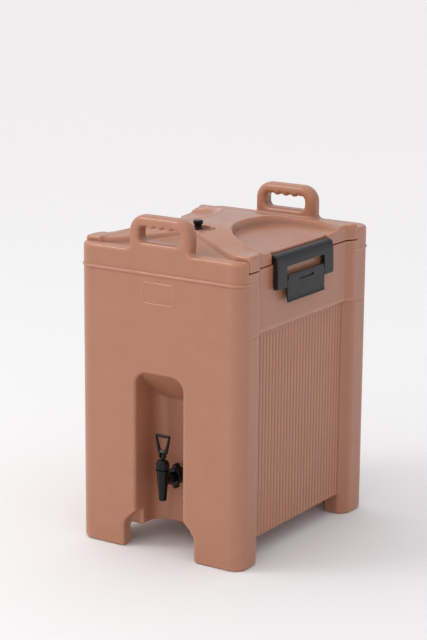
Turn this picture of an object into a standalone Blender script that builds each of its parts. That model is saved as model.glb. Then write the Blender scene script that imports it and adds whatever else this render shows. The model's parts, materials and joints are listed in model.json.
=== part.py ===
"""Insulated beverage dispenser: a foam-filled moulded tank on four corner feet, with a plug lid held by
a swinging latch on each side, a vent cap, and a lever tap in a recess of the front wall.

Metres, +Z up. X runs across the front, the tap side faces -Y, and the feet stand on z = 0.
"""
import math

import bmesh
import bpy

# Driving dimensions of the moulded tank
WIDTH = 0.405
DEPTH = 0.522
RIM_Z = 0.645
SEAM_Z = 0.619
HANDLE_Z = 0.716
BASE_Z = 0.045
CORNER_R = 0.031
SKIN = 0.0045
GAP = 0.0003
FAR = 0.30  # beyond the object on every side, for cutters

# A bead round the tank below the lid, and a raised frame for a label under it
BEAD_LOW_Z = 0.5950
BEAD_HIGH_Z = 0.6000
BEAD_PROUD = 0.0025
LABEL_HALF = 0.0390
LABEL_LOW_Z = 0.5340
LABEL_HIGH_Z = 0.5800
LABEL_RIM = 0.0025
LABEL_PROUD = 0.0008

# The sides: a plain band under the lid, and a deeper ribbed panel below it
BAND_X = 0.1905
PANEL_X = 0.1825
PANEL_TOP_Z = 0.485
RIB_PITCH = 0.0123
RIB_COUNT = 28
RIBBED_Y = RIB_PITCH * RIB_COUNT / 2
FRONT_FLANK_RUN = 1.25  # how far the panel's sloped ends run along Y for each unit in X
REAR_FLANK_RUN = 0.95
SIDE_GAP_Y = 0.174
RIB_DEPTH = 0.0024

# The lid bay lies between the front and rear end walls
BAY_FRONT_Y = -0.2345
BAY_REAR_Y = 0.2045
LID_GAP = 0.0012
LID_TOP_Z = 0.678

# Tank interior
TANK_X = 0.140
TANK_REAR_Y = 0.180
TANK_FRONT_Y = -0.205
TANK_LOW_FRONT_Y = -0.140
TANK_FLOOR_Z = 0.130
PLUG_DEPTH = 0.030
PLUG_GAP = 0.0015
PLUG_R = 0.016

# Carrying handles, one on each end wall
HANDLE_HALF = 0.076
HANDLE_THICK = 0.0345
GRIP_HALF = 0.050
GRIP_LOW_Z = 0.662
GRIP_HIGH_Z = 0.693

# Tap recess in the front wall
RECESS_HALF = 0.0598
RECESS_BACK_Y = -0.175
RECESS_CORNER_R = 0.030
RECESS_SHOULDER_Z = 0.356
RECESS_TOP_Z = 0.386
FOOT_GAP_HALF = 0.0888
FOOT_GAP_TOP_Z = 0.085
FOOT_GAP_SHOULDER_Z = 0.057
FOOT_DEPTH = 0.030

# The holes that the foam is poured through, and their plugs
FILL_Y = 0.050
FILL_R = 0.0125
FILL_PLUG_R = 0.0122
FILL_HEAD_R = 0.0170
FILL_HEAD = 0.0025

# Latches: the plate hangs on a rod along the lid's edge, the tab hangs on the plate
HINGE_X = 0.187
HINGE_Z = 0.634
PLATE_FRONT_Y = -0.1295
PLATE_REAR_Y = 0.0965
PLATE_LOW_Z = 0.568
WINDOW_TOP_Z = 0.6110
TAB_FRONT_Y = -0.0915
TAB_REAR_Y = 0.0585
TAB_PIN_X = 0.1998
TAB_PIN_Z = 0.588
ROD_R = 0.0015
KEEPER_SCREW_Z = 0.5765

# Tap
TAP_Y = -0.243
SHANK_Z = 0.155
SHANK_R = 0.0105
NOZZLE_LOW_Z = 0.115
NOZZLE_R = 0.0080
NOZZLE_BORE_R = 0.0052
BARREL_R = 0.0130
BARREL_BORE_R = 0.0080
FLANGE_R = 0.0148
BONNET_R = 0.0137
BARREL_TOP_Z = 0.187
LEVER_PIN_Z = 0.2125
LEVER_TOP_Z = 0.2570
LEVER_RING_Z = 0.2172
LEVER_LOW_HALF = 0.0115
LEVER_HIGH_HALF = 0.0185
LEVER_BAR = 0.0042

# Vent cap
VENT_Y = -0.116
VENT_SEAT_Z = 0.668


def clear_scene():
    for obj in list(bpy.data.objects):
        bpy.data.objects.remove(obj, do_unlink=True)


def material(name, color, roughness, metallic=0.0):
    mat = bpy.data.materials.new(name)
    mat.use_nodes = True
    shader = mat.node_tree.nodes["Principled BSDF"]
    shader.inputs["Base Color"].default_value = (*color, 1.0)
    shader.inputs["Roughness"].default_value = roughness
    shader.inputs["Metallic"].default_value = metallic
    return mat


# Outlines: lists of 2-D points, counter-clockwise

def arc(cx, cy, radius, start, end, steps):
    """Points on an arc, from start to end in degrees, both ends included."""
    points = []
    for i in range(steps + 1):
        angle = math.radians(start + (end - start) * i / steps)
        points.append((cx + radius * math.cos(angle), cy + radius * math.sin(angle)))
    return points


def rounded_rect(x0, y0, x1, y1, radius, steps=4):
    outline = []
    corners = ((x1, y1, -1, -1, 0), (x0, y1, 1, -1, 90), (x0, y0, 1, 1, 180), (x1, y0, -1, 1, 270))
    for cx, cy, sx, sy, start in corners:
        outline += arc(cx + sx * radius, cy + sy * radius, radius, start, start + 90, steps)
    return outline


def rect(x0, y0, x1, y1):
    return [(x0, y0), (x1, y0), (x1, y1), (x0, y1)]


# Solids

def add_object(name, bm, mat=None, smooth_angle=None):
    bmesh.ops.recalc_face_normals(bm, faces=bm.faces)
    mesh = bpy.data.meshes.new(name)
    bm.to_mesh(mesh)
    bm.free()
    obj = bpy.data.objects.new(name, mesh)
    bpy.context.scene.collection.objects.link(obj)
    if mat is not None:
        mesh.materials.append(mat)
    if smooth_angle is not None:
        mesh.shade_smooth()
        mesh.set_sharp_from_angle(angle=math.radians(smooth_angle))
    return obj


def place(point, along, axis):
    """A 3-D point from an outline's 2-D point and its distance along the extrusion axis."""
    u, v = point
    return {"X": (along, u, v), "Y": (u, along, v), "Z": (u, v, along)}[axis]


def prism(outline, low, high, axis="Z", name="tool", mat=None):
    """A closed outline swept straight from low to high along an axis."""
    bm = bmesh.new()
    ends = [[bm.verts.new(place(p, h, axis)) for p in outline] for h in (low, high)]
    count = len(outline)
    for i in range(count):
        j = (i + 1) % count
        bm.faces.new((ends[0][i], ends[0][j], ends[1][j], ends[1][i]))
    bm.faces.new(ends[0])
    bm.faces.new(ends[1])
    return add_object(name, bm, mat)


def turned(profile, steps, centre=(0.0, 0.0, 0.0), axis="Z", name="tool", mat=None):
    """A closed (radius, height) profile turned about an axis; radius 0 closes on the axis itself."""
    bm = bmesh.new()
    rings = []
    for radius, height in profile:
        ring = []
        for i in range(steps if radius > 0 else 1):
            angle = 2 * math.pi * i / steps
            u, v = radius * math.cos(angle), radius * math.sin(angle)
            x, y, z = {"X": (height, u, v), "Y": (u, height, v), "Z": (u, v, height)}[axis]
            ring.append(bm.verts.new((centre[0] + x, centre[1] + y, centre[2] + z)))
        rings.append(ring)
    for a, b in zip(rings, rings[1:] + rings[:1]):
        if len(a) == 1 and len(b) == 1:
            continue
        for i in range(steps):
            j = (i + 1) % steps
            corners = [a[i % len(a)], a[j % len(a)], b[j % len(b)], b[i % len(b)]]
            bm.faces.new(list(dict.fromkeys(corners)))
    return add_object(name, bm, mat, 35)


def rod(radius, low, high, centre=(0.0, 0.0, 0.0), axis="Z", steps=16, name="tool", mat=None):
    return turned([(0, low), (radius, low), (radius, high), (0, high)], steps, centre, axis, name, mat)


def tube(inner, outer, low, high, centre=(0.0, 0.0, 0.0), axis="Z", steps=20, name="tool", mat=None):
    profile = [(inner, low), (outer, low), (outer, high), (inner, high)]
    return turned(profile, steps, centre, axis, name, mat)


def box(x0, y0, z0, x1, y1, z1, name="tool", mat=None):
    return prism(rect(x0, y0, x1, y1), z0, z1, "Z", name, mat)


def weld(mesh):
    """Merge the doubled points that a Boolean leaves where edges cross."""
    bm = bmesh.new()
    bm.from_mesh(mesh)
    bmesh.ops.remove_doubles(bm, verts=bm.verts, dist=0.000004)
    bmesh.ops.dissolve_degenerate(bm, edges=bm.edges, dist=0.000002)
    bm.to_mesh(mesh)
    bm.free()


def combine(target, tool, operation):
    """Apply a Boolean to the target's mesh and remove the tool."""
    step = target.modifiers.new(operation.lower(), "BOOLEAN")
    step.operation = operation
    step.solver = "EXACT"
    step.object = tool
    graph = bpy.context.evaluated_depsgraph_get()
    mesh = bpy.data.meshes.new_from_object(target.evaluated_get(graph))
    target.modifiers.remove(step)
    weld(mesh)
    old = target.data
    mesh.name = old.name
    target.data = mesh
    bpy.data.meshes.remove(old)
    bpy.data.objects.remove(tool, do_unlink=True)
    return target


def cut(target, *tools):
    for tool in tools:
        combine(target, tool, "DIFFERENCE")
    return target


def join(target, *tools):
    for tool in tools:
        combine(target, tool, "UNION")
    return target


def set_origin(obj, point):
    """Move the object's origin to its joint's axis and leave the shape where it is."""
    for vertex in obj.data.vertices:
        vertex.co.x -= point[0]
        vertex.co.y -= point[1]
        vertex.co.z -= point[2]
    obj.location = point
    return obj


# Shapes that the tank's skins, its foam and the lid share. grow moves a surface outwards.

def smooth_step(t):
    t = min(max(t, 0.0), 1.0)
    return t * t * (3 - 2 * t)


def side_x(y):
    """Half width of the band under the lid: full at the corner posts, set back between them."""
    blend = 0.026
    front = smooth_step((y + 0.202) / blend)
    rear = smooth_step((0.193 - y) / blend)
    return WIDTH / 2 - (WIDTH / 2 - BAND_X) * min(front, rear)


def band_tool(side, grow=0.0):
    """Stock beside the band, from the ribbed panel up."""
    steps = 5
    stations = [-0.2025 + 0.027 * i / steps for i in range(steps + 1)]
    stations += [0.1665 + 0.027 * i / steps for i in range(steps + 1)]
    outline = [(side * (side_x(y) - grow), y) for y in stations]
    outline += [(side * 0.25, stations[-1]), (side * 0.25, stations[0])]
    return prism(outline, PANEL_TOP_Z - 0.001 - grow, 0.75, "Z")


def flank(side, run, end, grow):
    """The sloped end of the lower panel, from outside the tank in to the panel's plane."""
    outer = 0.25
    along = RIBBED_Y + run * (outer - PANEL_X) + grow * math.hypot(run, 1)
    foot = RIBBED_Y + grow * (math.hypot(run, 1) - run)
    return [(side * outer, end * along), (side * (PANEL_X - grow), end * foot)]


def panel_tool(side, grow=0.0, ribbed=False):
    """Stock beside the lower panel, with its vertical grooves."""
    outline = flank(side, FRONT_FLANK_RUN, -1, grow)
    if ribbed:
        for i in range(RIB_COUNT):
            y = i * RIB_PITCH - RIBBED_Y
            outline.append((side * PANEL_X, y + 0.0020))
            outline.append((side * PANEL_X, y + RIB_PITCH - 0.0030))
            outline.append((side * (PANEL_X - RIB_DEPTH), y + RIB_PITCH - 0.0005))
    outline += flank(side, REAR_FLANK_RUN, 1, grow)[::-1]
    return prism(outline, -0.02, PANEL_TOP_Z + grow, "Z")


def tank_tool(grow=0.0, top=0.70):
    """The tank's interior: narrow behind the tap recess, wider above it."""
    radius = 0.020 + grow
    low_z = TANK_FLOOR_Z - grow
    front = TANK_FRONT_Y - grow
    low_front = TANK_LOW_FRONT_Y - grow
    rear = TANK_REAR_Y + grow
    toe = 0.006 + grow
    profile = arc(low_front + toe, low_z + toe, toe, 180, 270, 2)
    profile += arc(rear - radius, low_z + radius, radius, 270, 360, 3)
    profile += [(rear, top), (front, top), (front, 0.462 - grow), (low_front, 0.418 - grow)]
    tool = prism(profile, -0.20, 0.20, "X")
    half = TANK_X + grow
    plan = rounded_rect(-half, front - 0.0005, half, rear + 0.0005, PLUG_R + PLUG_GAP + grow, 3)
    return combine(tool, prism(plan, 0.0, 0.80, "Z"), "INTERSECT")


def recess_plan(grow=0.0):
    half = RECESS_HALF + grow
    back = RECESS_BACK_Y + grow
    radius = RECESS_CORNER_R + grow
    outline = arc(half - radius, back - radius, radius, 0, 90, 4)
    outline += arc(-half + radius, back - radius, radius, 90, 180, 4)
    return outline + [(-half, -FAR), (half, -FAR)]


def recess_tool(grow=0.0):
    """The tap recess: a U in plan, an arch from the front, with a ceiling that falls to the back."""
    half = RECESS_HALF + grow
    radius = RECESS_TOP_Z - RECESS_SHOULDER_Z
    arch = arc(half - radius - grow, RECESS_SHOULDER_Z, radius + grow, 0, 90, 4)
    arch += arc(-half + radius + grow, RECESS_SHOULDER_Z, radius + grow, 90, 180, 4)
    arch += [(-half, -0.02), (half, -0.02)]
    tool = prism(arch, -0.29, -0.10, "Y")
    combine(tool, prism(recess_plan(grow), -0.05, 0.45, "Z"), "INTERSECT")
    fall = math.tan(math.radians(40))
    lip = RECESS_TOP_Z + 0.004 + grow
    front, back = -DEPTH / 2 - 0.05, -0.05
    falls_to = lip - (back + DEPTH / 2) * fall
    wedge = [(front, lip + 0.05 * fall), (back, falls_to), (back, 0.6), (front, 0.6)]
    return cut(tool, prism(wedge, -0.2, 0.2, "X"))


def foot_tools():
    """What is taken away under the base: the space between the feet, and the gap under the tap."""
    inner_x = 0.150
    inner_y = DEPTH / 2 - FOOT_DEPTH
    reach = inner_y + 0.001
    tools = [prism(rect(-inner_x, -reach, inner_x, reach), -0.02, BASE_Z, "Z")]
    tools.append(prism(rect(-0.25, -SIDE_GAP_Y, 0.25, SIDE_GAP_Y), -0.02, BASE_Z + 0.0002, "Z"))
    wide, narrow = FOOT_GAP_HALF, RECESS_HALF
    gap = [(-wide, -0.02), (wide, -0.02), (wide, FOOT_GAP_SHOULDER_Z)]
    gap += [(narrow, FOOT_GAP_TOP_Z), (-narrow, FOOT_GAP_TOP_Z), (-wide, FOOT_GAP_SHOULDER_Z)]
    tools.append(prism(gap, -FAR, -inner_y, "Y"))
    tools.append(prism(gap, inner_y, FAR, "Y"))
    return tools


def handle(front):
    """A carrying handle on an end wall, with finger grooves along the top of its opening."""
    outer = DEPTH / 2 if not front else -DEPTH / 2
    inner = outer - HANDLE_THICK if not front else outer + HANDLE_THICK
    radius = 0.036
    arch = arc(HANDLE_HALF - radius, HANDLE_Z - radius, radius, 0, 90, 5)
    arch += arc(-HANDLE_HALF + radius, HANDLE_Z - radius, radius, 90, 180, 5)
    arch += [(-HANDLE_HALF, SEAM_Z - 0.02), (HANDLE_HALF, SEAM_Z - 0.02)]
    return prism(arch, min(outer, inner), max(outer, inner), "Y")


def grip_hole(front):
    low, high = (-FAR, -0.20) if front else (0.20, FAR)
    corner = 0.010
    outline = arc(-GRIP_HALF + corner, GRIP_LOW_Z + corner, corner, 180, 270, 2)
    outline += arc(GRIP_HALF - corner, GRIP_LOW_Z + corner, corner, 270, 360, 2)
    outline += arc(GRIP_HALF - corner, GRIP_HIGH_Z - corner, corner, 0, 60, 2)
    steps = 18
    for i in range(steps + 1):
        x = 0.036 - 0.072 * i / steps
        outline.append((x, GRIP_HIGH_Z - 0.002 - 0.002 * math.cos(2 * math.pi * x / 0.022)))
    outline += arc(-GRIP_HALF + corner, GRIP_HIGH_Z - corner, corner, 120, 180, 2)
    return prism(outline, low, high, "Y")


def shank_boss(grow=0.0):
    return rod(0.0185 - grow, -FAR, 0.0, (0, 0, SHANK_Z), "Y", 16)


def body_foam_solid(grow=0.0):
    """The foam between the skins; grow = GAP gives the hollow that the foam fills."""
    inset = SKIN + GAP - grow
    half_x = WIDTH / 2 - inset
    half_y = DEPTH / 2 - inset
    radius = CORNER_R - inset
    low = BASE_Z + inset
    foam = prism(rounded_rect(-half_x, -half_y, half_x, half_y, radius, 3), low, SEAM_Z - inset, "Z")
    for side in (-1, 1):
        cut(foam, panel_tool(side, inset), band_tool(side, inset))
    cut(foam, tank_tool(inset), recess_tool(inset))
    gap_half = FOOT_GAP_HALF + inset
    gap_back = DEPTH / 2 - FOOT_DEPTH - inset
    for low, high in ((-FAR, -gap_back), (gap_back, FAR)):
        cut(foam, prism(rect(-gap_half, low, gap_half, high), -0.02, FOOT_GAP_TOP_Z + inset, "Z"))
    return cut(foam, shank_boss(grow))


def fill_plug(face_z, name, mat):
    """A plug in a fill hole, its head below the skin's lower face at face_z."""
    head_z = face_z - FILL_HEAD
    profile = [(0, head_z), (FILL_HEAD_R, head_z), (FILL_HEAD_R, face_z - GAP), (FILL_PLUG_R, face_z - GAP)]
    profile += [(FILL_PLUG_R, face_z + SKIN - GAP), (0, face_z + SKIN - GAP)]
    return turned(profile, 16, (0, FILL_Y, 0), "Z", name, mat)


def make_body(mats):
    half_x, half_y = WIDTH / 2, DEPTH / 2
    shell = prism(rounded_rect(-half_x, -half_y, half_x, half_y, CORNER_R, 5), 0, RIM_Z, "Z",
                  "body_shell", mats["body_shell"])
    bead_x, bead_y = half_x + BEAD_PROUD, half_y + BEAD_PROUD
    join(shell, prism(rounded_rect(-bead_x, -bead_y, bead_x, bead_y, CORNER_R + BEAD_PROUD, 5),
                      BEAD_LOW_Z, BEAD_HIGH_Z, "Z"))
    for front in (True, False):
        join(shell, handle(front))
    frame = box(-LABEL_HALF, -half_y - LABEL_PROUD, LABEL_LOW_Z, LABEL_HALF, -half_y + 0.002, LABEL_HIGH_Z)
    field = LABEL_HALF - LABEL_RIM
    cut(frame, box(-field, -FAR, LABEL_LOW_Z + LABEL_RIM, field, -0.25, LABEL_HIGH_Z - LABEL_RIM))
    join(shell, frame)
    cut(shell, box(-0.25, BAY_FRONT_Y, SEAM_Z, 0.25, BAY_REAR_Y, 0.655))
    for front in (True, False):
        cut(shell, grip_hole(front))
    for side in (-1, 1):
        cut(shell, band_tool(side), panel_tool(side, ribbed=True))
    cut(shell, tank_tool(), recess_tool(), *foot_tools())
    cut(shell, body_foam_solid(GAP))
    cut(shell, rod(0.011, -FAR, -0.10, (0, 0, SHANK_Z), "Y", 20))
    cut(shell, rod(FILL_R, 0.02, BASE_Z + SKIN + 0.002, (0, FILL_Y, 0), "Z", 16))

    foam = body_foam_solid()
    foam.name = "body_foam"
    foam.data.name = "body_foam"
    foam.data.materials.append(mats["body_foam"])

    fill_plug(BASE_Z, "body_fill_plug", mats["body_fill_plug"])


# The lid's top is a height field: ridges run from its corners to a middle plateau, scoops open to the
# sides, and finger wells slope down to the end walls.

def lid_height(x, y):
    front, rear = BAY_FRONT_Y, BAY_REAR_Y
    mid_y = (front + rear) / 2
    rim_fall = max(abs(x) / (WIDTH / 2), abs(y - mid_y) / ((rear - front) / 2))
    z = LID_TOP_Z - 0.027 * smooth_step((rim_fall - 0.30) / 0.70)
    for edge, apex in ((front, -0.128), (rear, 0.110)):
        along = (y - edge) / (apex - edge)
        if along < 1:
            half = 0.183 * (1 - along)
            inside = 1 - abs(x) / max(half, 1e-6)
            depth = 0.012 * (1 - along) + 0.006
            z -= depth * smooth_step(inside * half / 0.040) * smooth_step((1 - along) / 0.25)
    for side in (-1, 1):
        reach = math.hypot((x - side * 0.197) / 0.152, (y + 0.012) / 0.158)
        floor = 0.6435 + 0.013 * smooth_step((0.190 - abs(x)) / 0.13)
        inside = smooth_step((1.0 - reach) / 0.085)
        z += (min(z, floor) - z) * inside
    trough = math.hypot(max(abs(x) - 0.027, 0.0), y - VENT_Y) / 0.0125
    z += (min(z, VENT_SEAT_Z + 0.001) - z) * smooth_step((1.25 - trough) / 0.35)
    return z


def low_nearby(x, y, reach=0.016):
    """The lowest that the lid's top comes within reach of a point."""
    steps = (-reach, 0.0, reach)
    return min(lid_height(x + dx, y + dy) for dx in steps for dy in steps)


def lid_block(columns, rows, inset, drop, bottom, clip=None, shrink=0.0, height=lid_height):
    """A block under the lid's height field, inset from the lid's plan and lowered by drop.

    shrink then draws its plan in a little, with the heights as they were."""
    front = BAY_FRONT_Y + LID_GAP + inset
    rear = BAY_REAR_Y - LID_GAP - inset
    bm = bmesh.new()
    top, base = [], []
    for j in range(rows + 1):
        y = front + (rear - front) * j / rows
        half = min(side_x(y), side_x(y - inset), side_x(y + inset)) - inset
        if clip is not None:
            half = min(half, clip)
        xs = [half * (2 * i / columns - 1) for i in range(columns + 1)]
        mid_y = (front + rear) / 2
        in_y = mid_y + (y - mid_y) * (1 - 2 * shrink / (rear - front))
        in_x = 1 - shrink / half
        top.append([bm.verts.new((x * in_x, in_y, height(x, y) - drop)) for x in xs])
        base.append([bm.verts.new((x * in_x, in_y, bottom)) for x in xs])
    for j in range(rows):
        for i in range(columns):
            near, far = (top[j][i], top[j][i + 1]), (top[j + 1][i], top[j + 1][i + 1])
            if i < columns / 2:
                bm.faces.new((near[0], near[1], far[1]))
                bm.faces.new((near[0], far[1], far[0]))
            else:
                bm.faces.new((near[0], near[1], far[0]))
                bm.faces.new((near[1], far[1], far[0]))
    loop = [(0, i) for i in range(columns)] + [(j, columns) for j in range(rows)]
    loop += [(rows, i) for i in range(columns, 0, -1)] + [(j, 0) for j in range(rows, 0, -1)]
    for (a, b), (c, d) in zip(loop, loop[1:] + loop[:1]):
        bm.faces.new((top[a][b], base[a][b], base[c][d], top[c][d]))
    bm.faces.new([base[a][b] for a, b in loop])
    used = {base[a][b] for a, b in loop}
    for row in base:
        for vertex in row:
            if vertex not in used:
                bm.verts.remove(vertex)
    return add_object("tool", bm)


def plug_outline(inset):
    x = TANK_X - PLUG_GAP - inset
    front = TANK_FRONT_Y + PLUG_GAP + inset
    rear = TANK_REAR_Y - PLUG_GAP - inset
    return rounded_rect(-x, front, x, rear, PLUG_R - min(inset, 0.010), 3)


def lid_foam_solid(grow=0.0):
    inset = SKIN + GAP - grow
    drop = SKIN + 0.001 + 4 * (GAP - grow)
    block = lid_block(14, 16, 0.010 + SKIN, drop, SEAM_Z + inset, 0.172 - SKIN, GAP - grow,
                      low_nearby)
    low = SEAM_Z - PLUG_DEPTH + inset
    join(block, prism(plug_outline(SKIN + inset), low, SEAM_Z + inset + 0.003, "Z"))
    boss = 0.0095 - grow
    return cut(block, rod(boss, 0.55, 0.70, (0, VENT_Y, 0), "Z", 14))


def make_lid(mats):
    lid = lid_block(36, 40, 0.0, 0.0, SEAM_Z + GAP)
    lid.name = "lid_shell"
    lid.data.name = "lid_shell"
    join(lid, prism(plug_outline(0), SEAM_Z - PLUG_DEPTH, SEAM_Z + 0.004, "Z"))
    groove = prism(plug_outline(-0.004), SEAM_Z - 0.019, SEAM_Z - 0.011, "Z")
    cut(groove, prism(plug_outline(0.0040), SEAM_Z - 0.030, SEAM_Z, "Z"))
    cut(lid, groove)
    notch = HANDLE_HALF + LID_GAP
    cut(lid, box(-notch, -FAR, 0.60, notch, -DEPTH / 2 + HANDLE_THICK + LID_GAP, 0.72))
    cut(lid, rod(0.0125, VENT_SEAT_Z, 0.70, (0, VENT_Y, 0), "Z", 16))
    for side in (-1, 1):
        outer = side * 0.25
        wall = side * (HINGE_X - 0.0065)
        cut(lid, box(min(wall, outer), PLATE_FRONT_Y - 0.0025, 0.60, max(wall, outer),
                     PLATE_REAR_Y + 0.0025, 0.70))
        cut(lid, rod(ROD_R + 0.00005, PLATE_FRONT_Y - 0.009, PLATE_REAR_Y + 0.009,
                     (side * HINGE_X, 0, HINGE_Z), "Y", 12))
    cut(lid, lid_foam_solid(GAP))
    cut(lid, rod(0.0055, 0.55, 0.70, (0, VENT_Y, 0), "Z", 14))
    low = SEAM_Z - PLUG_DEPTH
    cut(lid, rod(FILL_R, low - 0.01, low + SKIN + 0.002, (0, FILL_Y, 0), "Z", 16))
    lid.data.materials.append(mats["lid_shell"])

    foam = lid_foam_solid()
    foam.name = "lid_foam"
    foam.data.name = "lid_foam"
    foam.data.materials.append(mats["lid_foam"])

    fill_plug(low, "lid_fill_plug", mats["lid_fill_plug"])

    gasket = prism(plug_outline(-0.0008), SEAM_Z - 0.0187, SEAM_Z - 0.0113, "Z",
                   "lid_gasket", mats["lid_gasket"])
    cut(gasket, prism(plug_outline(0.0037), SEAM_Z - 0.030, SEAM_Z, "Z"))


def make_vent(mats):
    tube(0.0056, 0.0100, VENT_SEAT_Z + GAP, VENT_SEAT_Z + 0.0018, (0, VENT_Y, 0), "Z", 16,
         "vent_gasket", mats["vent_gasket"])
    low = VENT_SEAT_Z + 0.0021
    knob = turned([(0, 0.600), (0.0046, 0.600), (0.0052, 0.603), (0.0052, low), (0.0100, low),
                   (0.0108, low + 0.002), (0.0108, low + 0.011), (0.0095, low + 0.013), (0, low + 0.013)],
                  20, (0, VENT_Y, 0), "Z", "vent_cap", mats["vent_cap"])
    grip = box(-0.0098, VENT_Y - 0.0026, low + 0.010, 0.0098, VENT_Y + 0.0026, low + 0.0195)
    join(knob, grip)
    set_origin(knob, (0, VENT_Y, low))


# Latches. Points are (distance outwards, height) from the hinge rod's axis.

def mirrored(points, side, x=HINGE_X, z=HINGE_Z):
    return [(side * (x + u), z + v) for u, v in points]


def make_latch(side, word, mats):
    skin = [(0.0, 0.0050), (0.0060, 0.0046), (0.0110, 0.0020), (0.0140, -0.0030), (0.0155, -0.0120),
            (0.0165, -0.0300), (0.0170, PLATE_LOW_Z - HINGE_Z)]
    inner = [(0.0135, PLATE_LOW_Z - HINGE_Z), (0.0130, -0.0300), (0.0120, -0.0120), (0.0100, -0.0045),
             (0.0070, -0.0020)]
    knuckle = arc(0, 0, 0.0050, -45, -270, 8)
    plate = prism(mirrored(skin + inner + knuckle[:-1], side), PLATE_FRONT_Y, PLATE_REAR_Y, "Y",
                  f"latch_plate_{word}", mats["latch_plate"])
    window_top = WINDOW_TOP_Z - HINGE_Z
    opening = mirrored([(-0.01, window_top), (-0.01, -0.09), (0.05, -0.09), (0.05, window_top)], side)
    cut(plate, prism(opening, TAB_FRONT_Y - GAP * 2, TAB_REAR_Y + GAP * 2, "Y"))
    thick = 0.0030
    deep = 0.0052
    for low, reach, top in ((PLATE_FRONT_Y, deep, -0.006), (PLATE_REAR_Y - thick, deep, -0.006),
                            (TAB_FRONT_Y - 0.0006 - thick, 0.0085, window_top - 0.004),
                            (TAB_REAR_Y + 0.0006, 0.0085, window_top - 0.004)):
        skirt = [(reach + 0.002, top), (0.0125, top), (0.0145, -0.0300), (0.0150, -0.0660),
                 (reach + 0.001, -0.0660), (reach, -0.0600), (reach, top - 0.006)]
        join(plate, prism(mirrored(skirt, side), low, low + thick, "Y"))
    cut(plate, rod(ROD_R + 0.00008, -0.20, 0.20, (side * HINGE_X, 0, HINGE_Z), "Y", 12))
    pin_at = (side * TAB_PIN_X, 0, TAB_PIN_Z)
    cut(plate, rod(ROD_R + 0.00005, TAB_FRONT_Y - 0.009, TAB_REAR_Y + 0.009, pin_at, "Y", 12))
    set_origin(plate, (side * HINGE_X, 0, HINGE_Z))

    rod(ROD_R, PLATE_FRONT_Y - 0.0085, PLATE_REAR_Y + 0.0085, (side * HINGE_X, 0, HINGE_Z), "Y", 12,
        f"latch_rod_{word}", mats["latch_rod"])
    rod(ROD_R, TAB_FRONT_Y - 0.0085, TAB_REAR_Y + 0.0085, pin_at, "Y", 12,
        f"latch_tab_pin_{word}", mats["latch_tab_pin"])

    # The tab, from its own pin: a plate that is round at its pin and flares a little at the bottom
    face = [(0.0036, 0.0048), (0.0042, 0.0), (0.0046, -0.030), (0.0046, -0.043), (0.0064, -0.0515)]
    back = [(0.0028, -0.0523), (0.0012, -0.043), (0.0007, -0.036), (0.0007, -0.010), (-0.0020, -0.0045)]
    round_end = arc(0, 0, 0.0043, 225, 105, 4)
    at = (TAB_PIN_X, TAB_PIN_Z)
    tab = prism(mirrored(face[::-1] + round_end[::-1] + back[::-1], side, *at), TAB_FRONT_Y, TAB_REAR_Y,
                "Y", f"latch_tab_{word}", mats["latch_tab"])
    mid = (TAB_FRONT_Y + TAB_REAR_Y) / 2
    slot = mirrored([(0.0024, -0.0060), (0.02, -0.0060), (0.02, -0.0110), (0.0024, -0.0110)], side, *at)
    cut(tab, prism(slot, mid - 0.029, mid + 0.029, "Y"))
    pocket = mirrored([(-0.01, -0.0062), (0.0030, -0.0040), (0.0030, 0.0040), (-0.01, 0.0062)], side, *at)
    cut(tab, prism(pocket, mid - 0.008, mid + 0.008, "Y"))
    cut(tab, rod(ROD_R + 0.00008, -0.20, 0.20, pin_at, "Y", 12))
    set_origin(tab, pin_at)

    tube(ROD_R + 0.0002, 0.0027, mid - 0.007, mid + 0.007, pin_at, "Y", 12,
         f"latch_spring_{word}", mats["latch_spring"])

    # The hook on the tab's inner face, and the keeper on the tank's band whose lip it catches under
    hook = [(0.0004, -0.0262), (-0.0046, -0.0312), (-0.0046, -0.0330), (0.0004, -0.0364)]
    prism(mirrored(hook, side, *at), mid - 0.033, mid + 0.033, "Y", f"latch_hook_{word}", mats["latch_hook"])
    keep = [(0.1908, 0.5560), (0.1925, 0.5560), (0.1984, 0.5610), (0.1984, 0.5650), (0.1932, 0.5690),
            (0.1932, 0.5830), (0.1908, 0.5830)]
    keeper = prism([(side * x, z) for x, z in keep], mid - 0.036, mid + 0.036, "Y",
                   f"latch_keeper_{word}", mats["latch_keeper"])
    for number, y in enumerate((mid - 0.024, mid + 0.024), 1):
        low, high = sorted((side * 0.1865, side * 0.21))
        for drilled in (keeper, bpy.data.objects["body_shell"]):
            cut(drilled, rod(0.0022, low, high, (0, y, KEEPER_SCREW_Z), "X", 10))
        profile = [(0, 0.1868), (0.0019, 0.1868), (0.0019, 0.1935), (0.0035, 0.1935), (0.0028, 0.1952),
                   (0, 0.1952)]
        turned([(r, side * h) for r, h in profile], 10, (0, y, KEEPER_SCREW_Z), "X",
               f"latch_screw_{word}_{number}", mats["latch_screw"])


# Tap

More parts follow.
